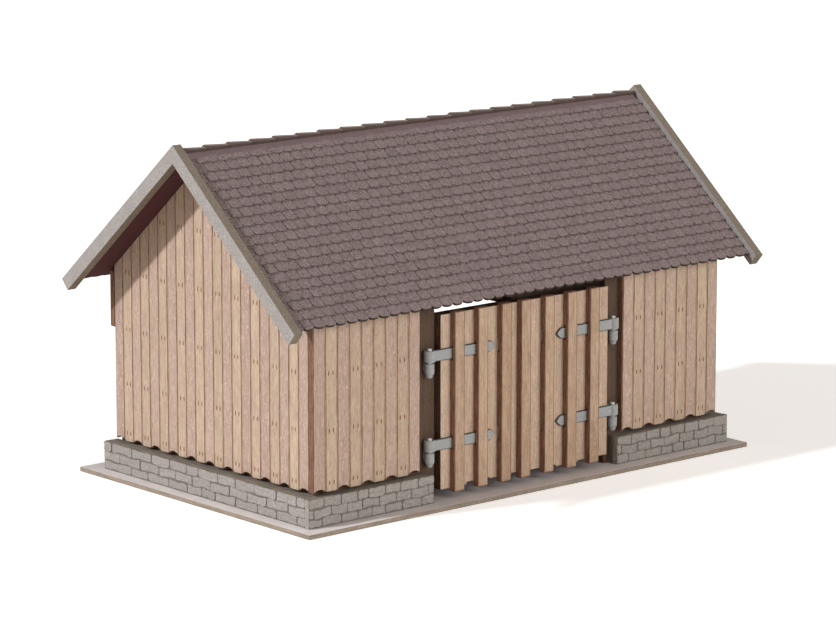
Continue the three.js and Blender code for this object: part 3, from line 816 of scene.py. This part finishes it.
def make_plinth():
    finishes = [STONE_FACE, MORTAR, STONE_EDGE_CARD, FRONT_LEDGE]
    for label, joints in (("left", FRONT_LEFT_JOINTS), ("right", FRONT_RIGHT_JOINTS)):
        node = f"front_{label}_plinth_stones"
        low, high = corners(node)
        shape = stonework(on_front(STONE_FRONT), low.x, high.x, joints, high.y - low.y)
        shape.piece(f"front_{label}_stonework", finishes, "shed", "stone_card", node)
    finishes = [STONE_FACE, MORTAR, STONE_EDGE_CARD, GABLE_LEDGE]
    for label, place, turn in (("left", on_left, -1), ("right", on_right, 1)):
        node = f"{label}_gable_plinth_stones"
        low, high = corners(node)
        joints = [[turn * y for y in course] for course in GABLE_JOINTS]
        shape = stonework(place(STONE_GABLE), low.y, high.y, joints, high.x - low.x)
        shape.piece(f"{label}_gable_stonework", finishes, "shed", "stone_card", node)


# Roof


# Finishes of a tile's sides: the round of its lower end, which takes painted shade (darker still in the
# lowest course), then the other three
TILE_SIDES = [1] * TILE_ARC_STEPS + [0, 0, 0]
TIP_SIDES = [3] * TILE_ARC_STEPS + [0, 0, 0]


def tile_outline(middle, width, start, s, slant, ends):
    """A beaver tail with a rounded lower end. The end tiles are cut off near the bargeboards."""
    half = (width - TILE_GAP) / 2
    points = []
    for step in range(TILE_ARC_STEPS + 1):
        angle = math.pi * step / TILE_ARC_STEPS
        across = -math.copysign(abs(math.cos(angle)) ** TILE_SQUARENESS, math.cos(angle))
        u = min(max(middle + half * across, -ends), ends)
        points.append((u, -s + slant * across + TILE_SAG * (1 - max(0, math.sin(angle)) ** TILE_SQUARENESS)))
    left, right = points[0][0], points[-1][0]
    return points + [(right, -start), (left, -start)]


def lay_tile(shape, place, left, start, end, is_lowest):
    """One tile, prouder towards its lower end. In the lowest course a cut tip shows past the card's edge;
    there the round end and the tip are painted near black as shade.
    """
    s = end + RANDOM.uniform(-TILE_END_WANDER, 0)
    rise = (TILE_BUTT - TILE_HEAD - RANDOM.uniform(0, TILE_BUTT_WANDER)) / (end - start)
    middle = left + TILE_PITCH / 2 + RANDOM.uniform(-TILE_SIDE_WANDER, TILE_SIDE_WANDER)
    if left + TILE_PITCH - TILE_GAP < -ROOF_HALF or left + TILE_GAP > ROOF_HALF:
        return
    slant = RANDOM.uniform(-TILE_SLANT, TILE_SLANT)
    ends = ROOF_HALF - RANDOM.uniform(TILE_END_GAP_LEAST, TILE_END_GAP)

    def tilt(v):
        return -TILE_HEAD - rise * (-v - start)

    outline = tile_outline(middle, TILE_PITCH, start, s, slant, ends)
    sides = TIP_SIDES if is_lowest else TILE_SIDES
    plate(shape, outline, place, 0, TILE_EDGE, (0, sides, 0), RANDOM.random(), tilt=tilt)
    if is_lowest:
        tip = tile_outline(middle, TILE_PITCH - TILE_GAP, EAVES_TIP_FROM, s, slant, ends)
        plate(shape, tip, place, EAVES_TIP_DEPTH, TILE_EDGE, (3, 3, 3), RANDOM.random())


def tile_sheet(is_rear):
    """Courses from the eaves up, each shifted by half a tile, on a bed that shows below the ridge caps."""
    shape = Shape()
    place = on_slope(is_rear, TILE_SEAT_DROP)
    head = (RIDGE_HALF_GAP + TILE_SEAT_DROP * SLOPE_SIN) / SLOPE_COS
    side = ROOF_HALF - TILE_END_GAP
    bed = [(-side, -BED_SLOPE_LENGTH), (side, -BED_SLOPE_LENGTH), (side, -head), (-side, -head)]
    plate(shape, bed, place, 0, BED_HEIGHT / 2, (2, 2, 2), front=-BED_HEIGHT)
    course_count = int((TILE_SLOPE_LENGTH - TILE_FIELD_TOP) / TILE_EXPOSURE) + 1
    tile_count = int(2 * ROOF_HALF / TILE_PITCH) + 2
    for course in range(course_count):
        end = TILE_SLOPE_LENGTH - course * TILE_EXPOSURE
        start = max(TILE_FIELD_TOP, end - TILE_EXPOSURE - TILE_TAIL)
        shift = TILE_JOINT_X + (course % 2) * TILE_PITCH / 2
        first = shift - TILE_PITCH * math.ceil((shift + ROOF_HALF) / TILE_PITCH)
        for index in range(tile_count):
            lay_tile(shape, place, first + index * TILE_PITCH, start, end, course == 0)
    return shape


def roof_sheet(label, is_rear):
    """The card under the tiles; the tiles' tips hang past its lower edge."""
    shape = Shape()
    low, high = -SHEET_TO, -SHEET_FROM
    outline = [(-ROOF_HALF, low), (ROOF_HALF, low), (ROOF_HALF, high), (-ROOF_HALF, high)]
    plate(shape, outline, on_slope(is_rear, SHEET_DROP), SHEET_THICKNESS, BOARD_EDGE, (0, 1, 0, 0))
    shape.piece(f"{label}_roof_sheet", [ROOF_CARD, DARK_BURNT], "shed", "roof_card", f"{label}_roof_panel")


def cap_line(x, drop):
    """A cap's section at x, from the rear wing over the slightly flattened crest to the front wing."""
    wing_y = CAP_SLOPE_LENGTH * SLOPE_COS - drop * SLOPE_SIN
    wing_z = APEX_Z - CAP_SLOPE_LENGTH * SLOPE_SIN - drop * SLOPE_COS
    side_z = APEX_Z - drop / SLOPE_COS - CAP_CREST * math.tan(ROOF_PITCH)
    crest_z = side_z + CAP_CREST * math.tan(ROOF_PITCH) / 2
    return [
        (x, wing_y, wing_z),
        (x, CAP_CREST, side_z),
        (x, 0, crest_z),
        (x, -CAP_CREST, side_z),
        (x, -wing_y, wing_z),
    ]


def cap_ring(x, drop):
    """All round a cap: over its upper side and back along its seat on the bed of the tiles."""
    return cap_line(x, drop) + cap_line(x, CAP_SEAT_DROP)[::-1]


# Finishes of a cap's faces: rear wing, crest (a painted highlight), front wing, front cut end, seat, rear cut
# end, and its two ends
CAP_MARKS = [0, 2, 2, 0, 1, 0, 0, 0, 0, 1, 1, 1]


def make_ridge():
    shape = Shape()
    pitch = 2 * ROOF_HALF / CAP_COUNT
    for index in range(CAP_COUNT):
        x = -ROOF_HALF + index * pitch
        lift = RANDOM.uniform(-CAP_WANDER, CAP_WANDER)
        near = cap_ring(x, CAP_LOW_DROP - CAP_STEP + lift)
        far = cap_ring(min(x + pitch * CAP_LENGTH_SHARE, ROOF_HALF), CAP_LOW_DROP + lift)
        size = len(near)
        faces = ring_faces(size, 0, size)
        faces += [[size - 1 - k for k in range(size)], [size + k for k in range(size)]]
        shape.add(near + far, faces, CAP_MARKS, RANDOM.random())
    shape.piece("ridge_caps", [CAP_FACE, CAP_EDGE, CAP_CREST_HIGHLIGHT], "shed", "tile_card", "ridge_tiles")


def make_roof():
    for label, is_rear in (("front", False), ("rear", True)):
        shape = tile_sheet(is_rear)
        finishes = [TILE_FACE, TILE_BUTT_SHADE, TILE_BED, TILE_TIP_SHADE]
        shape.piece(f"{label}_tiling", finishes, "shed", "tile_card", f"{label}_roof_tiles")
        roof_sheet(label, is_rear)
    make_ridge()


# Card pieces that keep their CAD form, with the cut edges eased


X_AXIS = Vector((1, 0, 0))
Y_AXIS = Vector((0, 1, 0))
Z_AXIS = Vector((0, 0, 1))


def eased(node, name, finishes, axis, body, width=EASED_WIDTH):
    """A copy of a CAD node with bevelled edges, one finish on the sheet's faces and one on its cut edges.

    axis is square to the sheet.
    """
    mesh = frame["nodes"][node].data.copy()
    mesh.materials.clear()
    for material in finishes:
        mesh.materials.append(material)
    form = bmesh.new()
    form.from_mesh(mesh)
    bmesh.ops.remove_doubles(form, verts=form.verts, dist=WELD_DISTANCE * MM)
    bmesh.ops.dissolve_limit(form, angle_limit=FLAT_ANGLE, verts=form.verts, edges=form.edges)
    inner = [edge for edge in form.edges if len(edge.link_faces) == 2]
    bmesh.ops.bevel(
        form, geom=[edge for edge in inner if edge.calc_face_angle() > SHARP_ANGLE], offset=width * MM,
        segments=EASED_STEPS, profile=EASED_ROUNDNESS, affect="EDGES", clamp_overlap=True,
    )
    bmesh.ops.recalc_face_normals(form, faces=form.faces)
    for face in form.faces:
        face.material_index = 0 if abs(face.normal.dot(axis)) > FACING_SHARE else 1
        face.smooth = False
    form.to_mesh(mesh)
    form.free()
    made = bpy.data.objects.new(name, mesh)
    bpy.context.scene.collection.objects.link(made)
    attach(made, body)
    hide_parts(node)


CORE_FINISHES = (DARK_CARD, DARK_BURNT)


def make_card_pieces():
    base = (BASE_TOP_CARD, BASE_EDGE_CARD)
    eased("baseplate", "base_sheet", base, Z_AXIS, "shed", BASE_EASED_WIDTH)
    # The right bargeboard's faces take the darker copy of the barge card: painted shade.
    for label, barge_face in (("left", BARGE_FACE), ("right", BARGE_SHADED)):
        barge = (barge_face, BARGE_EDGE)
        chevron = f"{label}_barge_chevron"
        eased(f"{label}_bargeboards", chevron, barge, X_AXIS, "shed", BARGE_EASED_WIDTH)
        eased(f"{label}_gable_core", f"{label}_gable_card", CORE_FINISHES, X_AXIS, "shed")
        eased(f"front_{label}_core", f"front_{label}_card", CORE_FINISHES, Y_AXIS, "shed")
        walls = ((f"{label}_gable", GABLE_LEDGE, X_AXIS), (f"front_{label}", FRONT_LEDGE, Y_AXIS))
        for wall, ledge, axis in walls:
            eased(f"{wall}_plinth_packing", f"{wall}_packing", (MORTAR, ledge), axis, "shed")
    eased("rear_lintel_core", "rear_lintel_card", CORE_FINISHES, Y_AXIS, "shed")
    eased("roof_truss", "loft_card", CORE_FINISHES, X_AXIS, "shed")


# Doors


def cover_nodes(label):
    return sorted(name for name in frame["nodes"] if name.startswith(f"{label}_leaf_cover_board_"))


def leaf_boards(label):
    """The leaf's own boards; between the cover boards they stop a little short, with uneven feet."""
    low, high = corners(f"{label}_leaf_boards")
    covers = sorted((corners(name)[0].x, corners(name)[1].x) for name in cover_nodes(label))
    joints = [(end + start) / 2 for (_, end), (start, _) in zip(covers, covers[1:])]
    limits = [low.x, *joints, high.x]
    shape = Shape()
    place = on_front(FRONT_FACE)
    for left, right in zip(limits, limits[1:]):
        foot = low.z + RANDOM.uniform(0, STEP_AT_FOOT)
        outline = [(left, foot), (right, foot), (right, high.z), (left, high.z)]
        kind = RANDOM.uniform(*LEAF_BOARD_KIND)
        plate(shape, outline, place, BOARD_THICKNESS, BOARD_EDGE / 2, (0, 1, 0), RANDOM.random(), kind)
    leaf = f"{label}_leaf"
    shape.piece(f"{leaf}_boarding", [DOOR_WOOD, DARK_BURNT], leaf, "door_wood", f"{leaf}_boards")


def cover_board(label, name):
    """A cover board in three stretches, hollowed at the back where the straps pass behind it."""
    low, high = corners(name)
    shape = Shape()
    place = on_front(-low.y)
    thickness = high.y - low.y
    outline = [(low.x, low.z), (high.x, low.z), (high.x, high.z), (low.x, high.z)]
    tone, kind = RANDOM.random(), RANDOM.uniform(*COVER_BOARD_KIND)
    front_part = thickness - STRAP_THICKNESS - STRAP_CLEARANCE
    plate(shape, outline, place, front_part, COVER_EDGE_WIDTH, (0, 1, 1), tone, kind, rim=COVER_EDGE_DEPTH)
    limits = [low.z]
    for level in ("lower", "upper"):
        strap_low, strap_high = corners(f"{label}_{level}_strap")
        if strap_low.x - STRAP_CLEARANCE < high.x and low.x < strap_high.x + STRAP_CLEARANCE:
            limits += [strap_low.z - STRAP_CLEARANCE, strap_high.z + STRAP_CLEARANCE]
    limits.append(high.z)
    for bottom, top in zip(limits[::2], limits[1::2]):
        back = [(low.x, bottom), (high.x, bottom), (high.x, top), (low.x, top)]
        plate(shape, back, place, thickness, HIDDEN_EDGE, (1, 1, 1), tone, kind, front_part)
    number = name.rsplit("_", 1)[1]
    shape.piece(f"{label}_cover_strip_{number}", [DOOR_WOOD, COVER_EDGE], f"{label}_leaf", "door_wood", name)


def hinge_strap(label, level, pin):
    """A flat strap with a pointed tip; its eye goes round the pin."""
    node = f"{label}_{level}_strap"
    low, high = corners(node)
    middle, half = (low.z + high.z) / 2, (high.z - low.z) / 2
    reach = STRAP_REACH[label]
    shoulder = reach - STRAP_TIP_LENGTH
    upper = [(EYE_BORE, half), (shoulder, half)]
    upper += [(shoulder + along * STRAP_TIP_LENGTH, share * half) for along, share in STRAP_TIP_SHARES]
    both = upper + [(distance, -height) for distance, height in upper[-2::-1]]
    inwards = 1 if label == "left" else -1
    outline = [(pin.x + inwards * distance, middle + height) for distance, height in both]
    if inwards > 0:
        outline.reverse()
    shape = Shape()
    place = on_front(FRONT_FACE + STRAP_THICKNESS)
    plate(shape, outline, place, STRAP_THICKNESS, STRAP_EDGE_WIDTH, (0, 1, 1))
    section = [
        (EYE_BORE, low.z), (EYE_RADIUS - EYE_EDGE, low.z), (EYE_RADIUS, low.z + EYE_EDGE),
        (EYE_RADIUS, high.z - EYE_EDGE), (EYE_RADIUS - EYE_EDGE, high.z), (EYE_BORE, high.z),
    ]
    turned(shape, pin.x, pin.y, section, is_ring=True)
    shape.piece(f"{label}_{level}_hinge_strap", [STRAP_CARD, STRAP_EDGE], f"{label}_leaf", "strap_card", node)


def hinge_pin(label, level, pin):
    """A boss with a rounded point on a web from the door post, and the pin that stands up out of it, painted
    pure white as a highlight.
    """
    strap_low, strap_high = corners(f"{label}_{level}_strap")
    top = strap_low.z - BOSS_TOP_GAP
    bottom = top - BOSS_HEIGHT
    shape = Shape()
    boss = [(share * BOSS_RADIUS, bottom + rise * BOSS_HEIGHT) for share, rise in BOSS_ROUNDING_SHARES]
    turned(shape, pin.x, pin.y, boss + [(BOSS_RADIUS, top - EYE_EDGE), (BOSS_RADIUS - EYE_EDGE, top)])
    sides = (pin.x - WEB_WIDTH / 2, pin.x + WEB_WIDTH / 2)
    foot = bottom + WEB_FOOT_SHARE * BOSS_HEIGHT
    web = [(sides[0], foot), (sides[1], foot), (sides[1], top), (sides[0], top)]
    plate(shape, web, on_front(-pin.y), -pin.y - FRONT_FACE + BOARD_THICKNESS, BOARD_EDGE, (0, 0, 0))
    head = strap_high.z + PIN_STANDS_UP
    crown = [(PIN_RADIUS, head - PIN_DOME), (PIN_RADIUS - PIN_DOME, head)]
    turned(shape, pin.x, pin.y, [(PIN_RADIUS, top)] + crown, 1)
    node = f"{label}_{level}_pintle"
    shape.piece(f"{label}_{level}_hinge_pin", [STRAP_CARD, PIN_HIGHLIGHT], "shed", "strap_card", node)


def make_doors():
    for label in ("left", "right"):
        leaf = f"{label}_leaf"
        leaf_boards(label)
        for name in cover_nodes(label):
            cover_board(label, name)
        eased(f"{leaf}_backing", f"{leaf}_card", CORE_FINISHES, Y_AXIS, leaf)
        pin = Vector(next(joint["pos_m"] for joint in frame["joints"] if joint["child"] == leaf)) / MM
        for level in ("lower", "upper"):
            hinge_strap(label, level, pin)
            hinge_pin(label, level, pin)


# Camera, light and floor


def make_camera():
    forward = Vector((
        -math.sin(CAMERA_AZIMUTH) * math.cos(CAMERA_ELEVATION),
        math.cos(CAMERA_AZIMUTH) * math.cos(CAMERA_ELEVATION),
        -math.sin(CAMERA_ELEVATION),
    ))
    right = Vector((math.cos(CAMERA_AZIMUTH), math.sin(CAMERA_AZIMUTH), 0))
    up = right.cross(forward)
    data = bpy.data.cameras.new("camera")
    data.sensor_width = SENSOR_WIDTH
    data.lens = FOCAL_PIXELS * SENSOR_WIDTH / IMAGE_WIDTH
    camera = bpy.data.objects.new("camera", data)
    axes = Matrix((right, up, -forward)).transposed()
    place = (CAMERA_TARGET - forward * CAMERA_DISTANCE) * MM
    camera.matrix_world = Matrix.Translation(place) @ axes.to_4x4()
    bpy.context.scene.collection.objects.link(camera)
    bpy.context.scene.camera = camera


def make_lamp(name, direction, strength, angle, colour):
    data = bpy.data.lights.new(name, "SUN")
    data.color = colour
    data.energy = strength
    data.angle = angle
    lamp = bpy.data.objects.new(name, data)
    lamp.rotation_euler = direction.to_track_quat("Z", "Y").to_euler()
    bpy.context.scene.collection.objects.link(lamp)


def seen_directly(tree):
    """One for camera, glossy and transmission rays and zero for the rest, as only those see plain white."""
    path = new_node(tree, "ShaderNodeLightPath").outputs
    seen = path["Is Camera Ray"]
    for kind in ("Is Glossy Ray", "Is Transmission Ray"):
        seen = new_node(tree, "ShaderNodeMath", {0: seen, 1: path[kind]}, operation="MAXIMUM").outputs[0]
    return seen


def make_world():
    world = bpy.data.worlds.new("studio")
    world.use_nodes = True
    tree = world.node_tree
    tree.nodes.clear()
    glow = new_node(tree, "ShaderNodeBackground", {"Color": SKY_COLOUR, "Strength": SKY_STRENGTH})
    white = new_node(tree, "ShaderNodeBackground", {"Color": WHITE, "Strength": 1})
    parts = {0: seen_directly(tree), 1: glow.outputs[0], 2: white.outputs[0]}
    both = new_node(tree, "ShaderNodeMixShader", parts)
    new_node(tree, "ShaderNodeOutputWorld", {"Surface": both.outputs[0]})
    bpy.context.scene.world = world


def make_floor():
    material = bpy.data.materials.new("floor")
    material.use_nodes = True
    tree = material.node_tree
    tree.nodes.clear()
    sheet = new_node(tree, "ShaderNodeBsdfDiffuse", {"Color": FLOOR_COLOUR})
    strength = new_node(tree, "ShaderNodeMath", {0: seen_directly(tree), 1: FLOOR_GLOW}, operation="MULTIPLY")
    glow = new_node(tree, "ShaderNodeEmission", {"Color": WHITE, "Strength": strength.outputs[0]})
    both = new_node(tree, "ShaderNodeAddShader", {0: sheet.outputs[0], 1: glow.outputs[0]})
    new_node(tree, "ShaderNodeOutputMaterial", {"Surface": both.outputs[0]})
    mesh = bpy.data.meshes.new("floor")
    half = FLOOR_HALF * MM
    square = [(-half, -half, 0), (half, -half, 0), (half, half, 0), (-half, half, 0)]
    mesh.from_pydata(square, [], [[0, 1, 2, 3]])
    mesh.materials.append(material)
    floor = bpy.data.objects.new("floor", mesh)
    bpy.context.scene.collection.objects.link(floor)


make_camera()
make_walls()
make_plinth()
make_roof()
make_card_pieces()
make_doors()
make_lamp("key", KEY_DIRECTION, KEY_STRENGTH, KEY_ANGLE, KEY_COLOUR)
make_lamp("front_fill", FRONT_DIRECTION, FRONT_STRENGTH, FRONT_ANGLE, FRONT_COLOUR)
make_world()
make_floor()
bpy.context.scene.view_settings.view_transform = "Standard"
